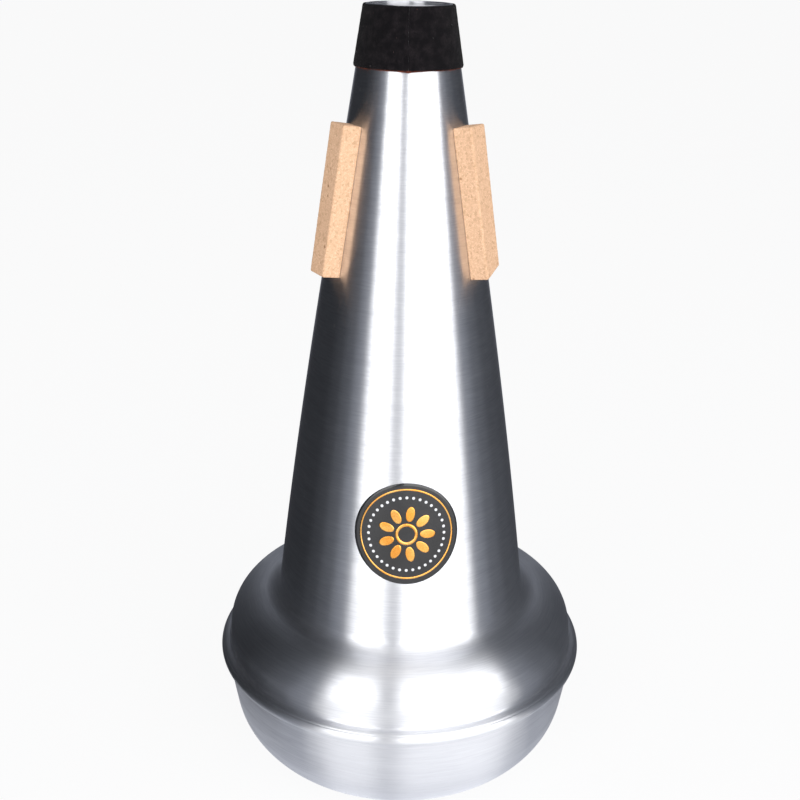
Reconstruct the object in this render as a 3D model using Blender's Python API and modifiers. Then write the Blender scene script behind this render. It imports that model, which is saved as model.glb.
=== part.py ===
"""Straight mute for a tenor trombone.

The mute is a hollow cone of spun aluminium that stands on a spun end cap. The body's lower edge is
curled round the rolled rim of the cap, which makes the bead at the widest point. Three cork strips
hold it in the bell, a soft sleeve wraps the open narrow end, and a round label sits on the front.

Units are metres and radians, +Z points from the flat end up to the open mouth, -Y is the front, and
the origin is the centre of the flat face that the mute stands on.
"""

import math

import bmesh
import bpy
from mathutils import Matrix, Vector

# Overall form
OVERALL_HEIGHT = 0.2510
BEAD_RADIUS = 0.06275
TURNED_STEPS = 60

# Clearance between pieces that touch on the real mute
SEAT_GAP = 0.0003

# Body: narrow mouth, straight upper cone and swelling lower cone
BODY_SHEET = 0.0008
MOUTH_RADIUS = 0.0127
UPPER_TAPER = 0.166
UPPER_CONE_LENGTH = 0.076
FOOT_LEAN = math.radians(7.0)
EDGE_BREAK = 0.0002

# Body: waist fillet, rounded shoulder and skirt above the bead
WAIST_FILLET = 0.0060
SHOULDER_CORNER = 0.0130
SHOULDER_TURN = math.radians(86.0)
SHOULDER_INSET = 0.0035
SKIRT_HEIGHT = 0.0070

# Seam: the body's edge curls round the cap's rim
BEAD_HEIGHT = 0.0380
BEAD_SECTION = 0.0024
GROOVE_FILLET = 0.0010

# End cap
CAP_SHEET = 0.0008
CAP_INSET = 0.0019
CAP_DRAFT = math.radians(9.5)
CAP_CORNER = 0.0230
RIM_NECK_FILLET = 0.0010
RIM_ROLL_END = math.radians(205.0)

# Cork strips, equally spaced round the cone
CORK_AZIMUTHS = {"left": math.radians(-60.0), "right": math.radians(60.0), "back": math.radians(180.0)}
CORK_LENGTH = 0.0456
CORK_WIDTH = 0.0087
CORK_THICKNESS = 0.0055
CORK_TOP_DROP = 0.0341
CORK_EDGE_WEAR = 0.0004

# Sleeve round the mouth, a strip whose ends meet at the front
SLEEVE_LENGTH = 0.0175
SLEEVE_THICKNESS = 0.0005
SLEEVE_DROP = 0.0003
SLEEVE_SLIT = 0.0003
SLEEVE_EDGE = 0.00012

# Round label on the front of the cone
LABEL_DIAMETER = 0.0330
LABEL_HEIGHT = 0.0969
LABEL_AZIMUTH = math.radians(2.5)
LABEL_THICKNESS = 0.0002

# Rows of facets along the curved stretches of the profiles
FLANK_ROWS = 6
WAIST_ROWS = 4
SHOULDER_ROWS = 7
GROOVE_ROWS = 2
CURL_ROWS = 6
NECK_ROWS = 2
CAP_CORNER_ROWS = 7
RIM_ROWS = 8
SLEEVE_STEPS = 60
LABEL_SIDES = 48
LABEL_ROWS = 4

# Places that follow from the sizes above
CURL_CENTRE = Vector((BEAD_RADIUS - BEAD_SECTION, BEAD_HEIGHT))
SHOULDER_RADIUS = BEAD_RADIUS - SHOULDER_INSET
SKIRT_TOP = BEAD_HEIGHT + SKIRT_HEIGHT
RIM_RADIUS = BEAD_SECTION - BODY_SHEET - SEAT_GAP

# Colour, roughness and metallic value of each finish
FINISHES = {
    "cone_body": ((0.62, 0.63, 0.66), 0.30, 1.0),
    "end_cap": ((0.66, 0.66, 0.69), 0.34, 1.0),
    "bumper_sleeve": ((0.012, 0.011, 0.012), 0.95, 0.0),
    "cork_strip_left": ((0.58, 0.36, 0.20), 0.90, 0.0),
    "cork_strip_right": ((0.60, 0.38, 0.21), 0.90, 0.0),
    "cork_strip_back": ((0.59, 0.37, 0.20), 0.90, 0.0),
    "label_disc": ((0.015, 0.015, 0.017), 0.12, 0.0),
}


def clear_scene():
    """Remove every object of the open scene."""
    for item in list(bpy.data.objects):
        bpy.data.objects.remove(item, do_unlink=True)


def make_material(name):
    """Return a Principled material with the finish of one piece."""
    colour, roughness, metallic = FINISHES[name]
    material = bpy.data.materials.new(name + "_finish")
    material.use_nodes = True
    shader = material.node_tree.nodes["Principled BSDF"]
    shader.inputs["Base Color"].default_value = (*colour, 1.0)
    shader.inputs["Roughness"].default_value = roughness
    shader.inputs["Metallic"].default_value = metallic
    material.diffuse_color = (*colour, 1.0)
    return material


def polar(angle):
    """Return the unit vector at an angle in the plane of a turned profile."""
    return Vector((math.cos(angle), math.sin(angle)))


def arc(centre, radius, start, end, rows):
    """Return the points of an arc in the profile plane, both ends included."""
    return [centre + radius * polar(start + (end - start) * row / rows) for row in range(rows + 1)]


def chain(*stretches):
    """Join stretches of a profile and drop the points that two stretches share."""
    points = []
    for stretch in stretches:
        for point in stretch:
            if not points or (point - points[-1]).length > 1e-6:
                points.append(point)
    return points


def waist_centre():
    """Return the centre of the hollow fillet between the cone and the shoulder."""
    shoulder_centre = Vector((SHOULDER_RADIUS - SHOULDER_CORNER, SKIRT_TOP))
    return shoulder_centre + (SHOULDER_CORNER + WAIST_FILLET) * polar(SHOULDER_TURN)


def cone_foot():
    """Return the point where the cone runs into the waist fillet."""
    return waist_centre() - WAIST_FILLET * polar(FOOT_LEAN)


def flank(height):
    """Return the cone's outer radius and its taper at a height above the base.

    The upper cone is straight. Below it a cubic joins the straight part to the foot with the
    tapers that both ends have.
    """
    straight_end = OVERALL_HEIGHT - UPPER_CONE_LENGTH
    if height >= straight_end:
        return MOUTH_RADIUS + UPPER_TAPER * (OVERALL_HEIGHT - height), UPPER_TAPER
    foot = cone_foot()
    span = straight_end - foot.y
    rise = (height - foot.y) / span
    top_radius = MOUTH_RADIUS + UPPER_TAPER * UPPER_CONE_LENGTH
    foot_slope = -math.tan(FOOT_LEAN) * span
    top_slope = -UPPER_TAPER * span
    drop = foot.x - top_radius
    square = -3.0 * drop - 2.0 * foot_slope - top_slope
    cube = 2.0 * drop + foot_slope + top_slope
    radius = foot.x + foot_slope * rise + square * rise ** 2 + cube * rise ** 3
    taper = -(foot_slope + 2.0 * square * rise + 3.0 * cube * rise ** 2) / span
    return radius, taper


def flank_points(top, bottom, rows, offset):
    """Return a stretch of the cone's flank, stood off from the metal by an offset."""
    points = []
    for row in range(rows + 1):
        height = top + (bottom - top) * row / rows
        radius, taper = flank(height)
        normal = Vector((1.0, taper)).normalized()
        points.append(Vector((radius, height)) + offset * normal)
    return points


def body_profile():
    """Return the outer face of the body, from the mouth down to the edge of the curl."""
    straight_end = OVERALL_HEIGHT - UPPER_CONE_LENGTH
    foot = cone_foot()
    upper = flank_points(OVERALL_HEIGHT, straight_end, 1, 0.0)
    lower = flank_points(straight_end, foot.y, FLANK_ROWS, 0.0)
    waist = arc(waist_centre(), WAIST_FILLET, math.pi + FOOT_LEAN, math.pi + SHOULDER_TURN, WAIST_ROWS)
    shoulder_centre = Vector((SHOULDER_RADIUS - SHOULDER_CORNER, SKIRT_TOP))
    shoulder = arc(shoulder_centre, SHOULDER_CORNER, SHOULDER_TURN, 0.0, SHOULDER_ROWS)
    groove_x = SHOULDER_RADIUS + GROOVE_FILLET
    reach = BEAD_SECTION + GROOVE_FILLET
    groove_rise = math.sqrt(reach ** 2 - (groove_x - CURL_CENTRE.x) ** 2)
    groove_centre = Vector((groove_x, CURL_CENTRE.y + groove_rise))
    meet = math.atan2(groove_rise, groove_x - CURL_CENTRE.x)
    groove = arc(groove_centre, GROOVE_FILLET, math.pi, math.pi + meet, GROOVE_ROWS)
    curl = arc(CURL_CENTRE, BEAD_SECTION, meet, -curl_end_angle(), CURL_ROWS)
    return chain(upper, lower, waist, shoulder, groove, curl)


def cap_wall_point():
    """Return the point of the cap's outer face level with the underside of the bead."""
    return Vector((BEAD_RADIUS - CAP_INSET, BEAD_HEIGHT - BEAD_SECTION))


def standoff(point):
    """Return how far a point of the profile plane stands outside the cap's wall."""
    normal = polar(-CAP_DRAFT)
    return (point - cap_wall_point()).dot(normal)


def curl_end_angle():
    """Return the angle below the horizontal at which the curl closes on the cap's wall."""
    inner_radius = BEAD_SECTION - BODY_SHEET
    return CAP_DRAFT + math.acos((SEAT_GAP - standoff(CURL_CENTRE)) / inner_radius)


def cap_profile():
    """Return the outer face of the cap, from its rolled rim down to the centre of the base."""
    normal = polar(-CAP_DRAFT)
    down = polar(-CAP_DRAFT - math.pi / 2.0)
    neck_offset = RIM_NECK_FILLET - standoff(CURL_CENTRE)
    neck_drop = math.sqrt((RIM_RADIUS + RIM_NECK_FILLET) ** 2 - neck_offset ** 2)
    neck_centre = CURL_CENTRE + neck_offset * normal + neck_drop * down
    to_neck = neck_centre - CURL_CENTRE
    neck_angle = math.atan2(to_neck.y, to_neck.x)
    rim = arc(CURL_CENTRE, RIM_RADIUS, RIM_ROLL_END, neck_angle, RIM_ROWS)
    neck = arc(neck_centre, RIM_NECK_FILLET, neck_angle + math.pi, math.pi - CAP_DRAFT, NECK_ROWS)
    wall_foot = cap_wall_point() + down * (cap_wall_point().y - CAP_CORNER) / math.cos(CAP_DRAFT)
    corner_centre = Vector((wall_foot.x - CAP_CORNER / math.cos(CAP_DRAFT), CAP_CORNER))
    corner = arc(corner_centre, CAP_CORNER, -CAP_DRAFT, -math.pi / 2.0, CAP_CORNER_ROWS)
    base_centre = [Vector((0.0, 0.0))]
    return chain(rim, neck, corner, base_centre)


def profile_mesh(name, points):
    """Return a mesh that holds a profile as a run of edges in the XZ plane."""
    mesh = bpy.data.meshes.new(name)
    corners = [(point.x, 0.0, point.y) for point in points]
    edges = [(index, index + 1) for index in range(len(points) - 1)]
    mesh.from_pydata(corners, edges, [])
    return mesh


def add_object(name, mesh, collection, parent):
    """Link a new object to a collection under a parent and return it."""
    item = bpy.data.objects.new(name, mesh)
    collection.objects.link(item)
    item.parent = parent
    return item


def add_screw(item, steps, angle=2.0 * math.pi):
    """Turn an object's profile about +Z."""
    screw = item.modifiers.new("Turn", "SCREW")
    screw.axis = "Z"
    screw.angle = angle
    screw.steps = steps
    screw.render_steps = steps
    screw.use_merge_vertices = True
    screw.merge_threshold = 0.00001
    screw.use_smooth_shade = True
    return screw


def add_sheet(item, thickness):
    """Give an open surface the thickness of a sheet, on its inner side."""
    solidify = item.modifiers.new("Sheet", "SOLIDIFY")
    solidify.thickness = thickness
    solidify.offset = -1.0
    solidify.use_even_offset = True
    solidify.use_quality_normals = True
    return solidify


def add_edge_break(item, width, segments=1):
    """Round the cut edges of a piece by a small width."""
    bevel = item.modifiers.new("Edge", "BEVEL")
    bevel.width = width
    bevel.segments = segments
    bevel.limit_method = "ANGLE"
    bevel.angle_limit = math.radians(60.0)
    return bevel


def add_boolean(item, cutter, operation):
    """Combine a piece with a cutter."""
    boolean = item.modifiers.new(operation.title(), "BOOLEAN")
    boolean.operation = operation
    boolean.solver = "EXACT"
    boolean.object = cutter
    return boolean


def hide_cutter(item):
    """Show a cutter as wires only and keep it out of renders."""
    item.display_type = "WIRE"
    item.hide_render = True


def dress(item):
    """Give a piece its own material."""
    item.data.materials.append(make_material(item.name))


def build_body(parts, frame):
    """Build the spun body: mouth, cone, shoulder and the curl of the seam."""
    body = add_object("cone_body", profile_mesh("cone_body", body_profile()), parts, frame)
    add_screw(body, TURNED_STEPS)
    add_sheet(body, BODY_SHEET)
    add_edge_break(body, min(EDGE_BREAK, BODY_SHEET / 3.0))
    dress(body)
    return body


def build_cap(parts, frame):
    """Build the spun end cap, with the rolled rim that the body's curl holds."""
    cap = add_object("end_cap", profile_mesh("end_cap", cap_profile()), parts, frame)
    add_screw(cap, TURNED_STEPS)
    add_sheet(cap, CAP_SHEET)
    dress(cap)
    return cap


def build_sleeve(parts, frame):
    """Build the soft strip wrapped round the mouth, with its butt seam at the front."""
    stand = SEAT_GAP + SLEEVE_THICKNESS
    top = OVERALL_HEIGHT - SLEEVE_DROP
    points = flank_points(top, top - SLEEVE_LENGTH, 1, stand)
    slit_angle = SLEEVE_SLIT / (points[0].x + points[1].x) * 2.0
    sleeve = add_object("bumper_sleeve", profile_mesh("bumper_sleeve", points), parts, frame)
    sleeve.rotation_euler.z = -math.pi / 2.0 + slit_angle / 2.0
    add_screw(sleeve, SLEEVE_STEPS, 2.0 * math.pi - slit_angle)
    add_sheet(sleeve, SLEEVE_THICKNESS)
    add_edge_break(sleeve, min(SLEEVE_EDGE, SLEEVE_THICKNESS / 3.0))
    dress(sleeve)
    return sleeve


def build_bed_cutter(cutters, frame):
    """Build the cone that cuts the corks' inner faces to the flank."""
    margin = CORK_LENGTH / 4.0
    top = OVERALL_HEIGHT - CORK_TOP_DROP + margin
    bottom = top - CORK_LENGTH - 2.0 * margin
    flank_line = flank_points(top, bottom, FLANK_ROWS, SEAT_GAP)
    points = [Vector((0.0, flank_line[0].y))] + flank_line + [Vector((0.0, flank_line[-1].y))]
    cutter = add_object("cork_bed_cutter", profile_mesh("cork_bed_cutter", points), cutters, frame)
    add_screw(cutter, TURNED_STEPS)
    hide_cutter(cutter)
    return cutter


def build_cork(side, azimuth, cutter, parts, frame):
    """Build one cork strip, a bar laid along the flank and cut to its curve."""
    middle = OVERALL_HEIGHT - CORK_TOP_DROP - CORK_LENGTH / 2.0
    radius, taper = flank(middle)
    lean = math.atan(taper)
    root = CORK_WIDTH / 3.0
    depth = CORK_THICKNESS + root
    bar = bpy.data.meshes.new("cork_strip_" + side)
    cage = bmesh.new()
    bmesh.ops.create_cube(cage, size=1.0, matrix=Matrix.Diagonal((depth, CORK_WIDTH, CORK_LENGTH, 1.0)))
    bmesh.ops.translate(cage, verts=cage.verts, vec=(CORK_THICKNESS - depth / 2.0, 0.0, 0.0))
    cage.to_mesh(bar)
    cage.free()
    cork = add_object("cork_strip_" + side, bar, parts, frame)
    turn = Matrix.Rotation(azimuth - math.pi / 2.0, 4, "Z")
    place = Matrix.Translation((radius, 0.0, middle)) @ Matrix.Rotation(-lean, 4, "Y")
    cork.matrix_local = turn @ place
    add_edge_break(cork, CORK_EDGE_WEAR, 2)
    add_boolean(cork, cutter, "DIFFERENCE")
    dress(cork)
    return cork


def build_label(parts, cutters, frame):
    """Build the round label, a disc cut out of a thin skin that follows the flank."""
    margin = LABEL_DIAMETER / 2.0 * 1.1
    stand = SEAT_GAP + LABEL_THICKNESS
    points = flank_points(LABEL_HEIGHT + margin, LABEL_HEIGHT - margin, LABEL_ROWS, stand)
    label = add_object("label_disc", profile_mesh("label_disc", points), parts, frame)
    add_screw(label, TURNED_STEPS)
    add_sheet(label, LABEL_THICKNESS)
    radius, taper = flank(LABEL_HEIGHT)
    punch_mesh = bpy.data.meshes.new("label_punch")
    punch_form = bmesh.new()
    bmesh.ops.create_cone(
        punch_form,
        cap_ends=True,
        segments=LABEL_SIDES,
        radius1=LABEL_DIAMETER / 2.0,
        radius2=LABEL_DIAMETER / 2.0,
        depth=radius,
    )
    punch_form.to_mesh(punch_mesh)
    punch_form.free()
    punch = add_object("label_punch", punch_mesh, cutters, frame)
    outward = Matrix.Rotation(math.pi / 2.0 - math.atan(taper), 4, "Y")
    turn = Matrix.Rotation(LABEL_AZIMUTH - math.pi / 2.0, 4, "Z")
    punch.matrix_local = turn @ Matrix.Translation((radius, 0.0, LABEL_HEIGHT)) @ outward
    hide_cutter(punch)
    add_boolean(label, punch, "INTERSECT")
    dress(label)
    return label


def build_mute():
    """Build every piece of the mute in its own collection."""
    clear_scene()
    parts = bpy.data.collections.new("straight_mute")
    cutters = bpy.data.collections.new("straight_mute_cutters")
    bpy.context.scene.collection.children.link(parts)
    bpy.context.scene.collection.children.link(cutters)
    frame = bpy.data.objects.new("mute_frame", None)
    parts.objects.link(frame)
    build_body(parts, frame)
    build_cap(parts, frame)
    build_sleeve(parts, frame)
    bed_cutter = build_bed_cutter(cutters, frame)
    for side, azimuth in CORK_AZIMUTHS.items():
        build_cork(side, azimuth, bed_cutter, parts, frame)
    build_label(parts, cutters, frame)


build_mute()
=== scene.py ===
"""Looks of the straight mute: spun aluminium shells, cork strips, soft sleeve and round label."""

import logging
import math
from dataclasses import dataclass
from enum import Enum
from typing import Any, Callable

import bmesh
import bpy
from mathutils import Matrix, Vector, noise


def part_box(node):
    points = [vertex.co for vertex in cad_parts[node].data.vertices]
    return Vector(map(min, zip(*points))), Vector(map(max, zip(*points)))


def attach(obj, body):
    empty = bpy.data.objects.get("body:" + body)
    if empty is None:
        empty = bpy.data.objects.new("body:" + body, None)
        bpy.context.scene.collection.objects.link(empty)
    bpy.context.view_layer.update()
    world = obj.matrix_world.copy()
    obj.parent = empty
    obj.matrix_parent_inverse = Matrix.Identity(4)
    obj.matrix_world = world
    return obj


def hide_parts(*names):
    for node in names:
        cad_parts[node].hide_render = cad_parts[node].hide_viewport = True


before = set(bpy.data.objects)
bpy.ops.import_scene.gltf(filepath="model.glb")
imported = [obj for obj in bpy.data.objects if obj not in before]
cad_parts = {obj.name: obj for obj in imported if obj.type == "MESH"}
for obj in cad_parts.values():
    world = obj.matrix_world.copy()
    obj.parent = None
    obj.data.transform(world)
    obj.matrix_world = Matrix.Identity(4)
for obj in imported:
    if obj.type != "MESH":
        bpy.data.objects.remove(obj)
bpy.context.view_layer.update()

LOG = logging.getLogger("straight_mute")
ROOT_BODY = "root"
FULL_TURN = 2.0 * math.pi
WHITE = (1.0, 1.0, 1.0, 1.0)

# The cork's mesh and its finish share these, so that the painted shade of the pits lies in the modelled pits.
CORK_GRAIN = 0.0006
CORK_PIT_SPACING = 0.0042
CORK_PIT_RARITY = 0.55


class CorkSide(Enum):
    """Where a cork strip stands round the cone, as the angle from the front."""

    LEFT = math.radians(-60.0)
    RIGHT = math.radians(60.0)
    BACK = math.radians(180.0)

    @property
    def label(self) -> str:
        """Lower-case word for the side."""
        return self.name.lower()


@dataclass(frozen=True)
class MuteSizes:
    """Sizes of the turned shells, in metres and radians, with the overall ones from the frame."""

    height: float
    bead_radius: float
    sheet: float = 0.0008
    mouth_radius: float = 0.0127
    upper_taper: float = 0.166
    upper_length: float = 0.076
    foot_lean: float = math.radians(7.0)
    waist_fillet: float = 0.0060
    shoulder_corner: float = 0.0130
    shoulder_turn: float = math.radians(86.0)
    shoulder_inset: float = 0.0035
    skirt_height: float = 0.0070
    bead_height: float = 0.0380
    bead_section: float = 0.0024
    groove_fillet: float = 0.0010
    seat_gap: float = 0.0003
    cap_inset: float = 0.0019
    cap_draft: float = math.radians(9.5)
    cap_corner: float = 0.0230
    rim_neck_fillet: float = 0.0010
    rim_roll_end: float = math.radians(205.0)

    @classmethod
    def from_frame(cls) -> "MuteSizes":
        """Read the overall height and the bead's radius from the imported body."""
        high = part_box("cone_body")[1]
        return cls(height=high.z, bead_radius=high.x)

    @property
    def curl_centre(self) -> Vector:
        """Centre of the bead's section in the profile plane."""
        return Vector((self.bead_radius - self.bead_section, self.bead_height))

    @property
    def shoulder_centre(self) -> Vector:
        """Centre of the shoulder's corner in the profile plane."""
        radius = self.bead_radius - self.shoulder_inset - self.shoulder_corner
        return Vector((radius, self.bead_height + self.skirt_height))

    @property
    def waist_centre(self) -> Vector:
        """Centre of the hollow fillet between the cone and the shoulder."""
        reach = self.shoulder_corner + self.waist_fillet
        return self.shoulder_centre + reach * polar(self.shoulder_turn)

    @property
    def cone_foot(self) -> Vector:
        """Point where the cone runs into the waist fillet."""
        return self.waist_centre - self.waist_fillet * polar(self.foot_lean)

    @property
    def straight_end(self) -> float:
        """Height at which the straight upper cone ends."""
        return self.height - self.upper_length

    def flank(self, height: float) -> tuple[float, float]:
        """Return the cone's outer radius and taper at a height.

        Args:
            height: Height above the base.

        Returns:
            The outer radius and the radius lost for each unit of height.
        """
        if height >= self.straight_end:
            return self.mouth_radius + self.upper_taper * (self.height - height), self.upper_taper
        foot = self.cone_foot
        span = self.straight_end - foot.y
        rise = (height - foot.y) / span
        drop = foot.x - self.mouth_radius - self.upper_taper * self.upper_length
        foot_slope = -math.tan(self.foot_lean) * span
        top_slope = -self.upper_taper * span
        square = -3.0 * drop - 2.0 * foot_slope - top_slope
        cube = 2.0 * drop + foot_slope + top_slope
        radius = foot.x + foot_slope * rise + square * rise ** 2 + cube * rise ** 3
        taper = -(foot_slope + 2.0 * square * rise + 3.0 * cube * rise ** 2) / span
        return radius, taper

    def on_flank(self, azimuth: float, height: float, stand: float) -> Vector:
        """Return the point that stands off the cone's flank.

        Args:
            azimuth: Angle from the front, positive towards +X.
            height: Height of the foot point on the metal.
            stand: Distance from the metal along its normal.

        Returns:
            The point in the row frame.
        """
        radius, taper = self.flank(height)
        length = math.hypot(1.0, taper)
        out = radius + stand / length
        return around(azimuth, out, height + stand * taper / length)


def polar(angle: float) -> Vector:
    """Unit vector at an angle in the profile plane."""
    return Vector((math.cos(angle), math.sin(angle)))


def around(turn: float, radius: float, height: float) -> Vector:
    """Return the point at an angle round the axis.

    Args:
        turn: Angle from the front, positive towards +X.
        radius: Distance from the axis.
        height: Height above the base.

    Returns:
        The point in the row frame.
    """
    return Vector((radius * math.sin(turn), -radius * math.cos(turn), height))


def arc(centre: Vector, radius: float, start: float, end: float, rows: int) -> list[Vector]:
    """Return the points of an arc, both ends included.

    Args:
        centre: Centre in the profile plane.
        radius: Radius of the arc.
        start: First angle.
        end: Last angle.
        rows: Number of chords.

    Returns:
        The points in order.
    """
    return [centre + radius * polar(start + (end - start) * row / rows) for row in range(rows + 1)]


def chain(*stretches: list[Vector]) -> list[Vector]:
    """Join stretches of a profile.

    Args:
        *stretches: Runs of points, each starting where the last ends.

    Returns:
        One run without repeated points.
    """
    points: list[Vector] = []
    for stretch in stretches:
        for point in stretch:
            if not points or (point - points[-1]).length > 1e-6:
                points.append(point)
    return points


def outward_normals(points: list[Vector]) -> list[Vector]:
    """Return the outward normal at each point of a run that goes down the outer side.

    Args:
        points: The run of points.

    Returns:
        One unit vector for each point.
    """
    normals = []
    last = len(points) - 1
    for index in range(last + 1):
        tangent = points[min(index + 1, last)] - points[max(index - 1, 0)]
        normals.append(Vector((-tangent.y, tangent.x)).normalized())
    return normals


def round_end(point: Vector, normal: Vector, ahead: Vector, sheet: float, rows: int = 8) -> list[Vector]:
    """Return the points of a sheet's rounded edge, from its outer to its inner face.

    Args:
        point: End of the outer face.
        normal: Outward normal there.
        ahead: Direction out of the sheet's edge.
        sheet: Thickness of the sheet.
        rows: Number of chords.

    Returns:
        The points between the two faces, both ends left out.
    """
    centre = point - normal * sheet / 2.0
    turns = [math.pi * row / rows for row in range(1, rows)]
    return [centre + (normal * math.cos(turn) + ahead * math.sin(turn)) * sheet / 2.0 for turn in turns]


class NodeGraph:
    """A node tree with short calls for adding and linking nodes."""

    def __init__(self, tree: bpy.types.NodeTree) -> None:
        """Work on a tree."""
        self.tree = tree

    def feed(self, target: Any, value: Any) -> None:
        """Link a socket to an input, or set the input to a constant.

        Args:
            target: The input.
            value: Socket or constant.
        """
        if isinstance(value, bpy.types.NodeSocket):
            self.tree.links.new(value, target)
        else:
            target.default_value = value

    def node(self, kind: str, values: dict | None = None, **settings: Any) -> Any:
        """Add a node.

        Args:
            kind: Blender's type name of the node.
            values: Input name or number to a socket to link or a constant.
            **settings: Properties of the node.

        Returns:
            The node.
        """
        made = self.tree.nodes.new(kind)
        for key, value in settings.items():
            setattr(made, key, value)
        for key, value in (values or {}).items():
            self.feed(made.inputs[key] if isinstance(key, int) else pick(made.inputs, key), value)
        return made

    def math(self, operation: str, first: Any, second: Any = 0.0) -> Any:
        """Add a math node.

        Args:
            operation: Blender's name of the operation.
            first: Socket or number.
            second: Socket or number.

        Returns:
            The output socket.
        """
        return self.node("ShaderNodeMath", {0: first, 1: second}, operation=operation).outputs[0]


class GeometryTree(NodeGraph):
    """A geometry node tree with named inputs that ends in realised, dressed geometry."""

    def __init__(self, name: str) -> None:
        """Start an empty tree."""
        super().__init__(bpy.data.node_groups.new(name, "GeometryNodeTree"))
        for way in ("INPUT", "OUTPUT"):
            self.tree.interface.new_socket("Geometry", in_out=way, socket_type="NodeSocketGeometry")
        self.entry = self.node("NodeGroupInput")
        self.leave = self.node("NodeGroupOutput")

    def size(self, label: str, kind: str, value: Any = None) -> Any:
        """Add a named input.

        Args:
            label: Name of the input.
            kind: Socket kind, such as Float, Int or Material.
            value: Default value, or None.

        Returns:
            The socket inside the tree.
        """
        item = self.tree.interface.new_socket(label, in_out="INPUT", socket_type="NodeSocket" + kind)
        if value is not None:
            item.default_value = value
        return self.entry.outputs[label]

    def end(self, geometry: Any) -> "GeometryTree":
        """Realise instances, set the finish and close the tree.

        Args:
            geometry: Socket with the finished geometry.

        Returns:
            The tree itself.
        """
        finish = self.size("Finish", "Material")
        solid = self.node("GeometryNodeRealizeInstances", {"Geometry": geometry}).outputs["Geometry"]
        dressed = self.node("GeometryNodeSetMaterial", {"Geometry": solid, "Material": finish})
        self.feed(self.leave.inputs[0], dressed.outputs["Geometry"])
        return self

    def run(
        self, name: str, start: bpy.types.Mesh, finish: bpy.types.Material, **sizes: Any
    ) -> bpy.types.Mesh:
        """Run the tree on a mesh.

        Args:
            name: Name of the new mesh.
            start: Mesh that goes in.
            finish: Material of the result.
            **sizes: Values of the named inputs, with underscores for spaces.

        Returns:
            The realised mesh, dressed with the finish.
        """
        carrier = bpy.data.objects.new(name + "_carrier", start)
        bpy.context.scene.collection.objects.link(carrier)
        modifier = carrier.modifiers.new("Nodes", "NODES")
        modifier.node_group = self.tree
        wanted = {key.replace("_", " "): value for key, value in sizes.items()}
        wanted["Finish"] = finish
        for item in self.tree.interface.items_tree:
            if item.item_type == "SOCKET" and item.in_out == "INPUT" and item.name in wanted:
                modifier[item.identifier] = wanted[item.name]
        bpy.context.view_layer.update()
        evaluated = carrier.evaluated_get(bpy.context.evaluated_depsgraph_get())
        mesh = bpy.data.meshes.new_from_object(evaluated)
        mesh.name = name
        bpy.data.objects.remove(carrier)
        mesh.materials.clear()
        mesh.materials.append(finish)
        mesh.polygons.foreach_set("material_index", [0] * len(mesh.polygons))
        return mesh


def pick(sockets: Any, name: str) -> Any:
    """Return the enabled socket of a name.

    Args:
        sockets: Inputs or outputs of a node.
        name: Name of the socket.

    Returns:
        The first enabled socket of that name.
    """
    return next(socket for socket in sockets if socket.name == name and socket.enabled)


def lathe_tree() -> GeometryTree:
    """Return the tree that turns a profile about +Z.

    Returns:
        A tree with inputs Steps, Start, Sweep, Weld and Finish.
    """
    tree = GeometryTree("turned_shell")
    steps = tree.size("Steps", "Int", 64)
    start = tree.size("Start", "Float", 0.0)
    sweep = tree.size("Sweep", "Float", FULL_TURN)
    weld = tree.size("Weld", "Float", 1e-6)
    profile = tree.entry.outputs["Geometry"]
    count = tree.node("GeometryNodeAttributeDomainSize", {"Geometry": profile}).outputs["Point Count"]
    columns = tree.math("ADD", steps, 1.0)
    grid = tree.node("GeometryNodeMeshGrid", {"Vertices X": columns, "Vertices Y": count})
    index = tree.node("GeometryNodeInputIndex").outputs[0]
    column = tree.math("FLOOR", tree.math("DIVIDE", index, count))
    row = tree.math("SUBTRACT", index, tree.math("MULTIPLY", column, count))
    place = tree.node("GeometryNodeInputPosition").outputs[0]
    sample = tree.node(
        "GeometryNodeSampleIndex",
        {"Geometry": profile, "Value": place, "Index": row},
        data_type="FLOAT_VECTOR",
        domain="POINT",
    )
    split = tree.node("ShaderNodeSeparateXYZ", {0: pick(sample.outputs, "Value")})
    share = tree.math("DIVIDE", column, steps)
    angle = tree.math("ADD", tree.math("MULTIPLY", share, sweep), start)
    along = tree.math("MULTIPLY", split.outputs[0], tree.math("COSINE", angle))
    across = tree.math("MULTIPLY", split.outputs[0], tree.math("SINE", angle))
    point = tree.node("ShaderNodeCombineXYZ", {0: along, 1: across, 2: split.outputs[2]}).outputs[0]
    moved = tree.node("GeometryNodeSetPosition", {"Geometry": grid.outputs["Mesh"], "Position": point})
    welded = tree.node("GeometryNodeMergeByDistance", {"Geometry": moved.outputs[0], "Distance": weld})
    return tree.end(welded.outputs[0])


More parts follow.
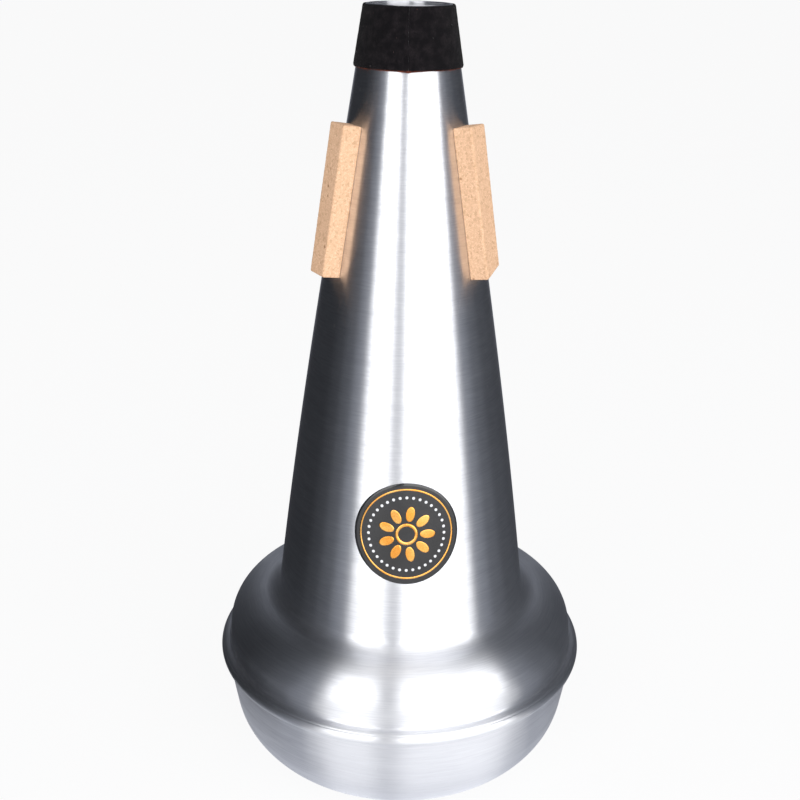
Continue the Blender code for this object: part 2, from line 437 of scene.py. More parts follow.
def nap_tree() -> GeometryTree:
    """Return the tree that stands short fibres on a surface.

    Returns:
        A tree with inputs Density, Seed, Length, Thickness, Lean and Finish.
    """
    shortest_share, longest_share = 0.4, 1.0
    tree = GeometryTree("fibre_nap")
    density = tree.size("Density", "Float", 1000.0)
    seed = tree.size("Seed", "Int", 1)
    length = tree.size("Length", "Float", 0.0003)
    thickness = tree.size("Thickness", "Float", 0.00002)
    lean = tree.size("Lean", "Float", 1.2)
    surface = tree.entry.outputs["Geometry"]
    spread = tree.node(
        "GeometryNodeDistributePointsOnFaces", {"Mesh": surface, "Density": density, "Seed": seed}
    )
    fibre = tree.node(
        "GeometryNodeMeshCone",
        {"Vertices": 3, "Radius Top": 0.0, "Radius Bottom": thickness, "Depth": length},
    )
    low = tree.node("ShaderNodeVectorMath", {0: (-1.0, -1.0, -1.0), "Scale": lean}, operation="SCALE")
    high = tree.node("ShaderNodeVectorMath", {0: (1.0, 1.0, 1.0), "Scale": lean}, operation="SCALE")
    tilt = tree.node(
        "FunctionNodeRandomValue",
        {"Min": low.outputs[0], "Max": high.outputs[0], "Seed": seed},
        data_type="FLOAT_VECTOR",
    )
    lean_by = tree.node("FunctionNodeEulerToRotation", {0: pick(tilt.outputs, "Value")})
    stand = tree.node(
        "FunctionNodeRotateRotation",
        {0: spread.outputs["Rotation"], 1: lean_by.outputs[0]},
        rotation_space="LOCAL",
    )
    growth = tree.node(
        "FunctionNodeRandomValue", {"Min": shortest_share, "Max": longest_share}, data_type="FLOAT"
    )
    strewn = tree.node(
        "GeometryNodeInstanceOnPoints",
        {
            "Points": spread.outputs["Points"],
            "Instance": fibre.outputs["Mesh"],
            "Rotation": stand.outputs[0],
            "Scale": pick(growth.outputs, "Value"),
        },
    )
    return tree.end(strewn.outputs[0])


def ring_tree() -> GeometryTree:
    """Return the tree that sets oval marks round a circle.

    Returns:
        A tree with inputs Count, Ring, Half length, Half width, Thickness and Finish.
    """
    outline_steps, fill_rings = 40, 6
    tree = GeometryTree("ring_of_marks")
    count = tree.size("Count", "Int", 8)
    ring = tree.size("Ring", "Float", 0.005)
    half_length = tree.size("Half length", "Float", 0.002)
    half_width = tree.size("Half width", "Float", 0.001)
    thickness = tree.size("Thickness", "Float", 0.00003)
    circle = tree.node("GeometryNodeMeshCircle", {"Vertices": count, "Radius": ring})
    mark = tree.node(
        "GeometryNodeMeshCylinder",
        {
            "Vertices": outline_steps,
            "Side Segments": 1,
            "Fill Segments": fill_rings,
            "Radius": 1.0,
            "Depth": 1.0,
        },
        fill_type="TRIANGLE_FAN",
    )
    index = tree.node("GeometryNodeInputIndex").outputs[0]
    angle = tree.math("MULTIPLY", tree.math("DIVIDE", index, count), FULL_TURN)
    euler = tree.node("ShaderNodeCombineXYZ", {2: angle})
    turn = tree.node("FunctionNodeEulerToRotation", {0: euler.outputs[0]})
    scale = tree.node("ShaderNodeCombineXYZ", {0: half_length, 1: half_width, 2: thickness})
    marks = tree.node(
        "GeometryNodeInstanceOnPoints",
        {
            "Points": circle.outputs["Mesh"],
            "Instance": mark.outputs["Mesh"],
            "Rotation": turn.outputs[0],
            "Scale": scale.outputs[0],
        },
    )
    return tree.end(marks.outputs[0])


def granule_tree() -> GeometryTree:
    """Return the tree that roughens a surface into pressed granules with a few pits.

    Returns:
        A tree with inputs Grain, Depth, Pit spacing, Pit depth and Finish.
    """
    unmoved_level, bowl_steepness = 0.6, 6.0
    tree = GeometryTree("pressed_granules")
    grain = tree.size("Grain", "Float", CORK_GRAIN)
    depth = tree.size("Depth", "Float", 0.00006)
    pit_spacing = tree.size("Pit spacing", "Float", CORK_PIT_SPACING)
    pit_depth = tree.size("Pit depth", "Float", 0.0003)
    place = tree.node("GeometryNodeInputPosition").outputs[0]
    normal = tree.node("GeometryNodeInputNormal").outputs[0]
    cells = tree.node(
        "ShaderNodeTexVoronoi", {"Vector": place, "Scale": tree.math("DIVIDE", 1.0, grain)}
    )
    level = tree.node("ShaderNodeSeparateXYZ", {0: cells.outputs["Color"]}).outputs[0]
    relief = tree.math("MULTIPLY", tree.math("SUBTRACT", level, unmoved_level), depth)
    holes = tree.node(
        "ShaderNodeTexVoronoi", {"Vector": place, "Scale": tree.math("DIVIDE", 1.0, pit_spacing)}
    )
    chance = tree.node("ShaderNodeSeparateXYZ", {0: holes.outputs["Color"]}).outputs[1]
    fall = tree.math("MULTIPLY", holes.outputs["Distance"], bowl_steepness)
    bowl = tree.math("MAXIMUM", tree.math("SUBTRACT", 1.0, fall), 0.0)
    some = tree.math("GREATER_THAN", chance, CORK_PIT_RARITY)
    sink = tree.math("MULTIPLY", tree.math("MULTIPLY", bowl, some), pit_depth)
    shift = tree.node(
        "ShaderNodeVectorMath", {0: normal, "Scale": tree.math("SUBTRACT", relief, sink)}, operation="SCALE"
    )
    rough = tree.node(
        "GeometryNodeSetPosition", {"Geometry": tree.entry.outputs["Geometry"], "Offset": shift.outputs[0]}
    )
    return tree.end(rough.outputs[0])


class ShaderGraph(NodeGraph):
    """The node tree of a material with a Principled shader."""

    def __init__(self, name: str) -> None:
        """Start a material with its Principled shader."""
        self.material = bpy.data.materials.new(name)
        self.material.use_nodes = True
        super().__init__(self.material.node_tree)
        self.shader = self.tree.nodes["Principled BSDF"]

    def bump(self, strength: float, depth: float, height: Any) -> Any:
        """Add a bump.

        Args:
            strength: Share of the bump, 0 to 1.
            depth: Height of the relief.
            height: Socket with the relief.

        Returns:
            The socket with the normal.
        """
        values = {"Strength": strength, "Distance": depth, "Height": height}
        return self.node("ShaderNodeBump", values).outputs[0]

    def weigh(self, *parts: tuple) -> Any:
        """Add up sockets, each times its weight.

        Args:
            *parts: Pairs of a socket and its weight.

        Returns:
            The output socket.
        """
        products = [self.math("MULTIPLY", socket, weight) for socket, weight in parts]
        total = products[0]
        for product in products[1:]:
            total = self.math("ADD", total, product)
        return total

    def span(self, value: Any, low: float, high: float, to_low: float = 0.0, to_high: float = 1.0) -> Any:
        """Map a range of a value to another, clamped.

        Args:
            value: Socket to map.
            low: Value that gives to_low.
            high: Value that gives to_high.
            to_low: Result at the low end.
            to_high: Result at the high end.

        Returns:
            The output socket.
        """
        return self.node("ShaderNodeMapRange", {0: value, 1: low, 2: high, 3: to_low, 4: to_high}).outputs[0]

    def blend(self, factor: Any, first: Any, second: Any) -> Any:
        """Mix two colours.

        Args:
            factor: Socket or number, 0 for the first colour.
            first: Socket or colour.
            second: Socket or colour.

        Returns:
            The output socket.
        """
        made = self.node("ShaderNodeMix", data_type="RGBA")
        for name, value in (("Factor", factor), ("A", first), ("B", second)):
            self.feed(pick(made.inputs, name), value)
        return pick(made.outputs, "Result")

    def object_point(self) -> Any:
        """Socket with the point in object coordinates."""
        return self.node("ShaderNodeTexCoord").outputs["Object"]

    def noise(self, vector: Any, scale: float, detail: float = 2.0) -> Any:
        """Add a noise texture.

        Args:
            vector: Socket with the point.
            scale: Features for each unit.
            detail: Octaves.

        Returns:
            The factor socket.
        """
        made = self.node("ShaderNodeTexNoise", {"Vector": vector, "Scale": scale, "Detail": detail})
        return made.outputs[0]

    def set(self, **values: Any) -> None:
        """Set or link inputs of the shader, with underscores for spaces."""
        for key, value in values.items():
            self.feed(self.shader.inputs[key.replace("_", " ")], value)


@dataclass(frozen=True)
class SpunAluminium:
    """Satin aluminium with the fine rings that the spinning tool and the polish leave."""

    light: tuple = (0.92, 0.93, 0.96, 1.0)
    dark: tuple = (0.70, 0.71, 0.75, 1.0)
    smooth: float = 0.34
    rough: float = 0.44
    stretch: float = 0.97
    stretch_turn: float = 0.25
    ring_octaves: float = 3.0
    ring_roughness: float = 0.65
    line_density: float = 2600.0
    line_turns: float = 5.0
    line_span: tuple = (0.34, 0.66)
    line_bump: float = 0.5
    line_depth: float = 0.000009
    band_density: float = 260.0
    band_turns: float = 1.6
    band_span: tuple = (0.3, 0.7)
    cloud_density: float = 45.0
    cloud_span: tuple = (0.35, 0.65)
    speck_density: float = 240.0
    speck_radius: float = 0.055
    speck_rarity: float = 0.72
    speck_strength: float = 0.6
    speck_white: tuple = (0.95, 0.95, 0.95, 1.0)

    def rings(self, graph: ShaderGraph, density: float, turns: float) -> Any:
        """Add noise that is drawn out round the axis.

        Args:
            graph: The material's graph.
            density: Rings for each metre along the profile.
            turns: How fast the rings change round the axis.

        Returns:
            The factor socket.
        """
        split = graph.node("ShaderNodeSeparateXYZ", {0: graph.object_point()})
        flat = graph.node("ShaderNodeCombineXYZ", {0: split.outputs[0], 1: split.outputs[1]})
        radius = graph.node("ShaderNodeVectorMath", {0: flat.outputs[0]}, operation="LENGTH").outputs["Value"]
        way = graph.node("ShaderNodeVectorMath", {0: flat.outputs[0]}, operation="NORMALIZE")
        side = graph.node("ShaderNodeSeparateXYZ", {0: way.outputs[0]})
        point = graph.node(
            "ShaderNodeCombineXYZ",
            {
                0: graph.math("MULTIPLY", side.outputs[0], turns),
                1: graph.math("MULTIPLY", side.outputs[1], turns),
                2: graph.math("MULTIPLY", split.outputs[2], density),
            },
        )
        made = graph.node(
            "ShaderNodeTexNoise",
            {
                "Vector": point.outputs[0],
                "W": graph.math("MULTIPLY", radius, density),
                "Scale": 1.0,
                "Detail": self.ring_octaves,
                "Roughness": self.ring_roughness,
            },
            noise_dimensions="4D",
        )
        return made.outputs[0]

    def build(self, name: str) -> bpy.types.Material:
        """Build the material.

        Args:
            name: Name of the material.

        Returns:
            The material.
        """
        graph = ShaderGraph(name)
        lines = graph.span(self.rings(graph, self.line_density, self.line_turns), *self.line_span)
        bands = graph.span(self.rings(graph, self.band_density, self.band_turns), *self.band_span)
        point = graph.object_point()
        cloud = graph.span(graph.noise(point, self.cloud_density, 3.0), *self.cloud_span)
        specks = graph.node("ShaderNodeTexVoronoi", {"Vector": point, "Scale": self.speck_density})
        rare = graph.math("GREATER_THAN", specks.outputs["Color"], self.speck_rarity)
        near = graph.math("LESS_THAN", specks.outputs["Distance"], self.speck_radius)
        dot = graph.math("MULTIPLY", near, rare)
        shade = graph.weigh((lines, 0.45), (bands, 0.35), (cloud, 0.2))
        colour = graph.blend(shade, self.light, self.dark)
        speck = graph.math("MULTIPLY", dot, self.speck_strength)
        colour = graph.blend(speck, colour, self.speck_white)
        grain = graph.weigh((lines, 0.6), (bands, 0.4))
        roughness = graph.math("ADD", graph.span(grain, 0.0, 1.0, self.smooth, self.rough), dot)
        split = graph.node("ShaderNodeSeparateXYZ", {0: point})
        back = graph.math("MULTIPLY", split.outputs[1], -1.0)
        round_way = graph.node("ShaderNodeCombineXYZ", {0: back, 1: split.outputs[0]})
        tangent = graph.node("ShaderNodeVectorMath", {0: round_way.outputs[0]}, operation="NORMALIZE")
        bump = graph.bump(self.line_bump, self.line_depth, lines)
        graph.set(
            Base_Color=colour,
            Roughness=roughness,
            Metallic=1.0,
            Anisotropic=self.stretch,
            Anisotropic_Rotation=self.stretch_turn,
            Tangent=tangent.outputs[0],
            Normal=bump,
        )
        return graph.material


@dataclass(frozen=True)
class PressedCork:
    """Agglomerated cork: tan granules, dark joints between them and a few pits."""

    pale: tuple = (0.88, 0.58, 0.38, 1.0)
    tan: tuple = (0.76, 0.48, 0.30, 1.0)
    brown: tuple = (0.44, 0.26, 0.14, 1.0)
    # dark brown of the joints between granules, also used as painted shade in the pits
    joint_and_pit_shade: tuple = (0.30, 0.15, 0.07, 1.0)
    grain: float = CORK_GRAIN
    brown_span: tuple = (0.86, 0.95, 0.0, 0.45)
    crack_span: tuple = (0.0, 0.09, 0.22, 0.0)
    pit_spacing: float = CORK_PIT_SPACING
    # painted shade: how far the dark brown reaches into each pit
    pit_shade_span: tuple = (0.07, 0.14, 0.85, 0.0)
    speckle_density: float = 3200.0
    speckle_span: tuple = (0.35, 0.65)
    speckle_strength: float = 0.35
    bump: float = 0.6
    bump_depth: float = 0.00008
    roughness: tuple = (0.82, 0.95)

    def build(self, name: str) -> bpy.types.Material:
        """Build the material.

        Args:
            name: Name of the material.

        Returns:
            The material.
        """
        graph = ShaderGraph(name)
        point = graph.object_point()
        cells = graph.node("ShaderNodeTexVoronoi", {"Vector": point, "Scale": 1.0 / self.grain})
        level = graph.node("ShaderNodeSeparateXYZ", {0: cells.outputs["Color"]})
        edges = graph.node(
            "ShaderNodeTexVoronoi", {"Vector": point, "Scale": 1.0 / self.grain}, feature="DISTANCE_TO_EDGE"
        )
        speckle = graph.span(graph.noise(point, self.speckle_density, 3.0), *self.speckle_span)
        colour = graph.blend(level.outputs[0], self.pale, self.tan)
        dark_granule = graph.span(level.outputs[1], *self.brown_span)
        colour = graph.blend(dark_granule, colour, self.brown)
        faint = graph.math("MULTIPLY", speckle, self.speckle_strength)
        colour = graph.blend(faint, colour, self.brown)
        crack = graph.span(edges.outputs["Distance"], *self.crack_span)
        colour = graph.blend(crack, colour, self.joint_and_pit_shade)
        # Painted shade: the pits that the mesh hollows out are also coloured dark brown.
        holes = graph.node("ShaderNodeTexVoronoi", {"Vector": point, "Scale": 1.0 / self.pit_spacing})
        chance = graph.node("ShaderNodeSeparateXYZ", {0: holes.outputs["Color"]}).outputs[1]
        some = graph.math("GREATER_THAN", chance, CORK_PIT_RARITY)
        pit_shade = graph.math("MULTIPLY", graph.span(holes.outputs["Distance"], *self.pit_shade_span), some)
        colour = graph.blend(pit_shade, colour, self.joint_and_pit_shade)
        height = graph.math("SUBTRACT", graph.math("MULTIPLY", speckle, 0.6), crack)
        graph.set(
            Base_Color=colour,
            Roughness=graph.span(speckle, 0.0, 1.0, *self.roughness),
            Specular_IOR_Level=0.25,
            Normal=graph.bump(self.bump, self.bump_depth, height),
        )
        return graph.material


@dataclass(frozen=True)
class SoftNeoprene:
    """Matt black foam rubber with a brushed face and a brown line along its cut lower edge."""

    edge_height: float
    edge_width: float = 0.0005
    black: tuple = (0.0035, 0.0028, 0.0038, 1.0)
    worn: tuple = (0.019, 0.015, 0.017, 1.0)
    backing: tuple = (0.30, 0.07, 0.03, 1.0)
    backing_strength: float = 0.75
    break_density: float = 900.0
    break_span: tuple = (0.4, 0.6, 0.3, 1.0)
    patch_density: float = 420.0
    patch_span: tuple = (0.42, 0.68)
    fuzz_density: float = 3600.0
    fuzz_span: tuple = (0.35, 0.65)
    bump: float = 0.8
    bump_depth: float = 0.00012
    roughness: tuple = (0.86, 0.98)

    def build(self, name: str) -> bpy.types.Material:
        """Build the material.

        Args:
            name: Name of the material.

        Returns:
            The material.
        """
        graph = ShaderGraph(name)
        point = graph.object_point()
        patches = graph.span(graph.noise(point, self.patch_density, 4.0), *self.patch_span)
        fuzz = graph.span(graph.noise(point, self.fuzz_density, 4.0), *self.fuzz_span)
        colour = graph.blend(graph.math("MULTIPLY", patches, fuzz), self.black, self.worn)
        height = graph.node("ShaderNodeSeparateXYZ", {0: point}).outputs[2]
        low = self.edge_height
        rim = graph.span(height, low, low + self.edge_width, self.backing_strength, 0.0)
        broken = graph.span(graph.noise(point, self.break_density), *self.break_span)
        colour = graph.blend(graph.math("MULTIPLY", rim, broken), colour, self.backing)
        relief = graph.math("ADD", fuzz, patches)
        graph.set(
            Base_Color=colour,
            Roughness=graph.span(fuzz, 0.0, 1.0, *self.roughness),
            Specular_IOR_Level=0.12,
            Sheen_Weight=0.03,
            Normal=graph.bump(self.bump, self.bump_depth, relief),
        )
        return graph.material


@dataclass(frozen=True)
class FineThread:
    """Loose fibre of one colour, lighter along part of its length."""

    colour: tuple
    tip: tuple
    drift_density: float = 800.0
    drift_span: tuple = (0.4, 0.6)

    def build(self, name: str) -> bpy.types.Material:
        """Build the material.

        Args:
            name: Name of the material.

        Returns:
            The material.
        """
        graph = ShaderGraph(name)
        wave = graph.noise(graph.object_point(), self.drift_density, 1.0)
        colour = graph.blend(graph.span(wave, *self.drift_span), self.colour, self.tip)
        graph.set(Base_Color=colour, Roughness=0.9, Specular_IOR_Level=0.15)
        return graph.material


@dataclass(frozen=True)
class GlossFilm:
    """Glossy printed film with the faint ripple of a stuck label."""

    colour: tuple
    worn: tuple
    roughness: float = 0.16
    metallic: float = 0.0
    wear: float = 0.08
    tone_density: float = 160.0
    tone_span: tuple = (0.35, 0.65)
    grain_density: float = 1500.0
    grain_span: tuple = (0.3, 0.7)
    ripple_density: float = 220.0
    ripple_bump: float = 0.25
    ripple_depth: float = 0.00004

    def build(self, name: str) -> bpy.types.Material:
        """Build the material.

        Args:
            name: Name of the material.

        Returns:
            The material.
        """
        graph = ShaderGraph(name)
        point = graph.object_point()
        tone = graph.span(graph.noise(point, self.tone_density, 3.0), *self.tone_span)
        grain = graph.span(graph.noise(point, self.grain_density), *self.grain_span)
        ripple = graph.noise(point, self.ripple_density, 1.0)
        roughness = graph.span(grain, 0.0, 1.0, self.roughness, self.roughness + self.wear)
        graph.set(
            Base_Color=graph.blend(tone, self.colour, self.worn),
            Roughness=roughness,
            Metallic=self.metallic,
            Coat_Weight=0.45,
            Coat_Roughness=0.08,
            Normal=graph.bump(self.ripple_bump, self.ripple_depth, ripple),
        )
        return graph.material


BLACK_NAP = FineThread((0.005, 0.004, 0.005, 1.0), (0.018, 0.015, 0.017, 1.0))
PALE_LINT = FineThread((0.30, 0.10, 0.08, 1.0), (0.45, 0.45, 0.46, 1.0))
BLACK_FILM = GlossFilm((0.010, 0.010, 0.011, 1.0), (0.016, 0.016, 0.018, 1.0))
ORANGE_FOIL = GlossFilm((0.90, 0.36, 0.05, 1.0), (0.95, 0.52, 0.14, 1.0), roughness=0.22, metallic=1.0)
PALE_INK = GlossFilm((0.72, 0.73, 0.75, 1.0), (0.80, 0.81, 0.83, 1.0), roughness=0.3)


def profile_mesh(name: str, points: list[Vector]) -> bpy.types.Mesh:
    """Return a run of profile points as a mesh of edges in the XZ plane.

    Args:
        name: Name of the mesh.
        points: Points in the profile plane.

    Returns:
        The mesh.
    """
    mesh = bpy.data.meshes.new(name)
    corners = [(max(point.x, 0.0), 0.0, point.y) for point in points]
    mesh.from_pydata(corners, [(index, index + 1) for index in range(len(points) - 1)], [])
    return mesh


def tidy_mesh(mesh: bpy.types.Mesh) -> bpy.types.Mesh:
    """Close open ends, point the faces outwards and shade the mesh smooth.

    Args:
        mesh: Mesh to tidy in place.

    Returns:
        The same mesh.
    """
    form = bmesh.new()
    form.from_mesh(mesh)
    open_edges = [edge for edge in form.edges if edge.is_boundary]
    if open_edges:
        bmesh.ops.holes_fill(form, edges=open_edges)
    bmesh.ops.recalc_face_normals(form, faces=form.faces)
    form.to_mesh(mesh)
    form.free()
    mesh.shade_smooth()
    return mesh


def move_points(mesh: bpy.types.Mesh, rule: Callable[[Vector], Vector]) -> bpy.types.Mesh:
    """Move every vertex of a mesh by a rule.

    Args:
        mesh: Mesh to change in place.
        rule: Gives the new place of a vertex from its old one.

    Returns:
        The same mesh.
    """
    for vertex in mesh.vertices:
        vertex.co = rule(vertex.co.copy())
    mesh.update()
    return mesh


def place_piece(name: str, mesh: bpy.types.Mesh, slot: str, *nodes: str) -> bpy.types.Object:
    """Make a mesh a piece of the mute.

    Args:
        name: Name of the piece.
        mesh: Its finished mesh, in the row frame.
        slot: Not used.
        *nodes: CAD nodes that it stands for.

    Returns:
        The object.
    """
    item = bpy.data.objects.new(name, mesh)
    bpy.context.scene.collection.objects.link(item)
    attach(item, ROOT_BODY)
    if nodes:
        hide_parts(*nodes)
    LOG.info("%s: %d faces", name, len(mesh.polygons))
    return item


@dataclass
class SpunShells:
    """The body and the end cap, two spun sheets crimped together at the bead."""

    sizes: MuteSizes
    lathe: GeometryTree
    steps: int = 256
    crimp_line: float = math.radians(48.0)
    crimp_depth: float = 0.00012
    crimp_width: float = math.radians(5.0)
    upper_rows: int = 24
    lower_rows: int = 56
    waist_rows: int = 18
    shoulder_rows: int = 30
    groove_rows: int = 10
    curl_rows: int = 40
    rim_rows: int = 28
    neck_rows: int = 8
    wall_rows: int = 10
    corner_rows: int = 32
    base_rows: int = 16

    def standoff(self, point: Vector) -> float:
        """Distance of a profile point outside the cap's wall."""
        return (point - self.cap_wall_point()).dot(polar(-self.sizes.cap_draft))

    def cap_wall_point(self) -> Vector:
        """Point of the cap's outer face level with the underside of the bead."""
        sizes = self.sizes
        return Vector((sizes.bead_radius - sizes.cap_inset, sizes.bead_height - sizes.bead_section))

    def curl(self, start: float) -> list[Vector]:
        """Return the bead's outer face with its shallow crimp line.

        Args:
            start: Angle at which the groove above meets the bead.

        Returns:
            Points from the top of the bead to the edge that closes on the cap.
        """
        sizes = self.sizes
        inner = sizes.bead_section - sizes.sheet
        side = math.acos((sizes.seat_gap - self.standoff(sizes.curl_centre)) / inner)
        end = -(sizes.cap_draft + side)
        points = []
        for row in range(self.curl_rows + 1):
            angle = start + (end - start) * row / self.curl_rows
            dip = self.crimp_depth * math.exp(-((angle - self.crimp_line) / self.crimp_width) ** 2)
            points.append(sizes.curl_centre + (sizes.bead_section - dip) * polar(angle))
        return points

    def body_face(self) -> list[Vector]:
        """Return the body's outer face from the mouth to the edge of the curl.

        Returns:
            The run of profile points.
        """
        sizes = self.sizes
        top = sizes.height - sizes.sheet / 2.0
        bend = sizes.straight_end
        foot = sizes.cone_foot.y
        heights = [top + (bend - top) * row / self.upper_rows for row in range(self.upper_rows + 1)]
        heights += [bend + (foot - bend) * row / self.lower_rows for row in range(1, self.lower_rows + 1)]
        flank = [Vector((sizes.flank(height)[0], height)) for height in heights]
        start, end = math.pi + sizes.foot_lean, math.pi + sizes.shoulder_turn
        waist = arc(sizes.waist_centre, sizes.waist_fillet, start, end, self.waist_rows)
        turn = sizes.shoulder_turn
        shoulder = arc(sizes.shoulder_centre, sizes.shoulder_corner, turn, 0.0, self.shoulder_rows)
        skirt_radius = sizes.bead_radius - sizes.shoulder_inset
        groove_x = skirt_radius + sizes.groove_fillet
        reach = sizes.bead_section + sizes.groove_fillet
        rise = math.sqrt(reach ** 2 - (groove_x - sizes.curl_centre.x) ** 2)
        meet = math.atan2(rise, groove_x - sizes.curl_centre.x)
        groove_centre = Vector((groove_x, sizes.curl_centre.y + rise))
        groove = arc(groove_centre, sizes.groove_fillet, math.pi, math.pi + meet, self.groove_rows)
        return chain(flank, waist, shoulder, groove, self.curl(meet))

    def cap_face(self) -> list[Vector]:
        """Return the cap's outer face from its rolled rim to the centre of the base.

        Returns:
            The run of profile points.
        """
        sizes = self.sizes
        rim_radius = sizes.bead_section - sizes.sheet - sizes.seat_gap
        normal = polar(-sizes.cap_draft)
        down = polar(-sizes.cap_draft - math.pi / 2.0)
        offset = sizes.rim_neck_fillet - self.standoff(sizes.curl_centre)
        drop = math.sqrt((rim_radius + sizes.rim_neck_fillet) ** 2 - offset ** 2)
        to_neck = offset * normal + drop * down
        neck_angle = math.atan2(to_neck.y, to_neck.x)
        rim = arc(sizes.curl_centre, rim_radius, sizes.rim_roll_end, neck_angle, self.rim_rows)
        neck_centre = sizes.curl_centre + to_neck
        start, end = neck_angle + math.pi, math.pi - sizes.cap_draft
        neck = arc(neck_centre, sizes.rim_neck_fillet, start, end, self.neck_rows)
        wall = self.cap_wall_point()
        foot = wall + down * (wall.y - sizes.cap_corner) / math.cos(sizes.cap_draft)
        corner_centre = Vector((foot.x - sizes.cap_corner / math.cos(sizes.cap_draft), sizes.cap_corner))
        rows = range(self.wall_rows + 1)
        side = [neck[-1] + (foot - neck[-1]) * row / self.wall_rows for row in rows]
        low, high = -math.pi / 2.0, -sizes.cap_draft
        corner = arc(corner_centre, sizes.cap_corner, high, low, self.corner_rows)
        rows = range(self.base_rows + 1)
        base = [Vector((corner_centre.x * (1.0 - row / self.base_rows), 0.0)) for row in rows]
        return chain(rim, neck, side, corner, base)

    def turn(self, name: str, section: list[Vector], finish: bpy.types.Material) -> bpy.types.Mesh:
        """Turn a section about the axis.

        Args:
            name: Name of the mesh.
            section: Points of the section.
            finish: Material.

        Returns:
            The closed, smooth mesh.
        """
        start = profile_mesh(name + "_profile", section)
        return tidy_mesh(self.lathe.run(name, start, finish, Steps=self.steps))

    def build_body(self, finish: bpy.types.Material) -> None:
        """Build the body's shell.

        Args:
            finish: Material of the metal.
        """
        sheet = self.sizes.sheet
        face = self.body_face()
        normals = outward_normals(face)
        inner = [point - normal * sheet for point, normal in zip(face, normals)]
        curl_edge = round_end(face[-1], normals[-1], (face[-1] - face[-2]).normalized(), sheet)
        mouth_edge = round_end(face[0], normals[0], (face[0] - face[1]).normalized(), sheet)
        section = face + curl_edge + inner[::-1] + mouth_edge[::-1] + [face[0]]
        place_piece("body_shell", self.turn("body_shell", section, finish), "aluminium_body", "cone_body")

    def build_cap(self, finish: bpy.types.Material) -> None:
        """Build the end cap's shell.

        Args:
            finish: Material of the metal.
        """
        sheet = self.sizes.sheet
        face = self.cap_face()
        normals = outward_normals(face)
        inner = [point - normal * sheet for point, normal in zip(face, normals)]
        inner[-1] = Vector((0.0, sheet))
        rim_edge = round_end(face[0], normals[0], (face[0] - face[1]).normalized(), sheet)
        section = face[::-1] + rim_edge + inner
        place_piece("cap_shell", self.turn("cap_shell", section, finish), "aluminium_cap", "end_cap")


@dataclass(frozen=True)
class Fibres:
    """How the fibres of one kind stand on the sleeve."""

    density: float
    seed: int
    length: float
    thickness: float
    lean: float


@dataclass
class MouthSleeve:
    """The soft black strip wrapped round the mouth, its ends butted at the front."""

    sizes: MuteSizes
    lathe: GeometryTree
    nap: GeometryTree
    length: float = 0.0175
    inner_stand: float = 0.00005
    outer_stand: float = 0.00078
    drop: float = 0.0003
    slit: float = 0.00002
    edge: float = 0.0002
    steps: int = 220
    rows: int = 36
    point_drop: float = 0.00045
    point_reach: float = 0.0022
    trimmed_share: float = 0.3
    wander: float = 0.00012
    wander_turns: float = 4.0
    ripple: float = 0.00003
    ripple_density: float = 700.0
    crease: float = math.radians(50.0)
    backing_drop: float = 0.0001
    short_nap: Fibres = Fibres(1.6e6, 3, 0.00026, 0.000016, 1.15)
    stray_lint: Fibres = Fibres(5.0e4, 8, 0.00042, 0.00003, 1.5)

    @property
    def bottom(self) -> float:
        """Height of the strip's lower edge."""
        return self.sizes.height - self.drop - self.length

    @property
    def backing_line(self) -> float:
        """Height from which the brown line along the lower edge is drawn."""
        return self.bottom - self.backing_drop

    def section(self) -> list[Vector]:
        """Return the strip's closed section.

        Returns:
            Points down the outer face and back up the inner one.
        """
        top = self.sizes.height - self.drop
        heights = [top + (self.bottom - top) * row / self.rows for row in range(self.rows + 1)]
        points = []
        for stand, run in ((self.outer_stand, heights), (self.inner_stand, heights[::-1])):
            for height in run:
                radius, taper = self.sizes.flank(height)
                from_edge = min(height - self.bottom, top - height)
                outer = stand > self.inner_stand
                tuck = max(0.0, self.edge - from_edge) if outer else 0.0
                points.append(Vector((radius, height)) + (stand - tuck) * Vector((1.0, taper)).normalized())
        return points + [points[0]]

    def trim(self, point: Vector) -> Vector:
        """Let the cut edges wander and drop to a small point where the ends meet.

        Args:
            point: Vertex of the strip.

        Returns:
            Its new place.
        """
        azimuth = math.atan2(point.x, -point.y)
        reach = abs(azimuth) * math.hypot(point.x, point.y)
        trimmed = self.trimmed_share * self.length
        low = 1.0 - min(1.0, max(0.0, (point.z - self.bottom) / trimmed))
        turns = self.wander_turns
        way = Vector((turns * math.sin(azimuth), turns * math.cos(azimuth), 0.0))
        ripple = noise.noise(point * self.ripple_density) * self.ripple
        fall = self.point_drop * math.exp(-reach / self.point_reach)
        fall += self.wander * noise.noise(way)
        out = Vector((point.x, point.y, 0.0)).normalized() * ripple
        return point + out - Vector((0.0, 0.0, fall * low))

    def grow(self, name: str, ground: bpy.types.Mesh, fibres: Fibres, finish: bpy.types.Material) -> None:
        """Stand fibres on the strip.

        Args:
            name: Name of the piece.
            ground: Mesh of the strip.
            fibres: How they stand.
            finish: Material of the fibres.
        """
        mesh = self.nap.run(
            name,
            ground,
            finish,
            Density=fibres.density,
            Seed=fibres.seed,
            Length=fibres.length,
            Thickness=fibres.thickness,
            Lean=fibres.lean,
        )
        place_piece(name, mesh, "neoprene")

    def build(self, finish: bpy.types.Material, fibre: bpy.types.Material, lint: bpy.types.Material) -> None:
        """Build the strip, its nap and the lint on it.

        Args:
            finish: Material of the strip.
            fibre: Material of the nap.
            lint: Material of the stray pale fibres.
        """
        radius = self.sizes.flank(self.bottom)[0]
        opening = self.slit / radius
        start = profile_mesh("sleeve_profile", self.section())
        mesh = self.lathe.run(
            "sleeve_strip",
            start,
            finish,
            Steps=self.steps,
            Start=-math.pi / 2.0 + opening / 2.0,
            Sweep=FULL_TURN - opening,
        )
        mesh = move_points(tidy_mesh(mesh), self.trim)
        mesh.set_sharp_from_angle(angle=self.crease)
        place_piece("sleeve_strip", mesh, "neoprene", "bumper_sleeve")
        self.grow("sleeve_nap", mesh, self.short_nap, fibre)
        self.grow("sleeve_lint", mesh, self.stray_lint, lint)


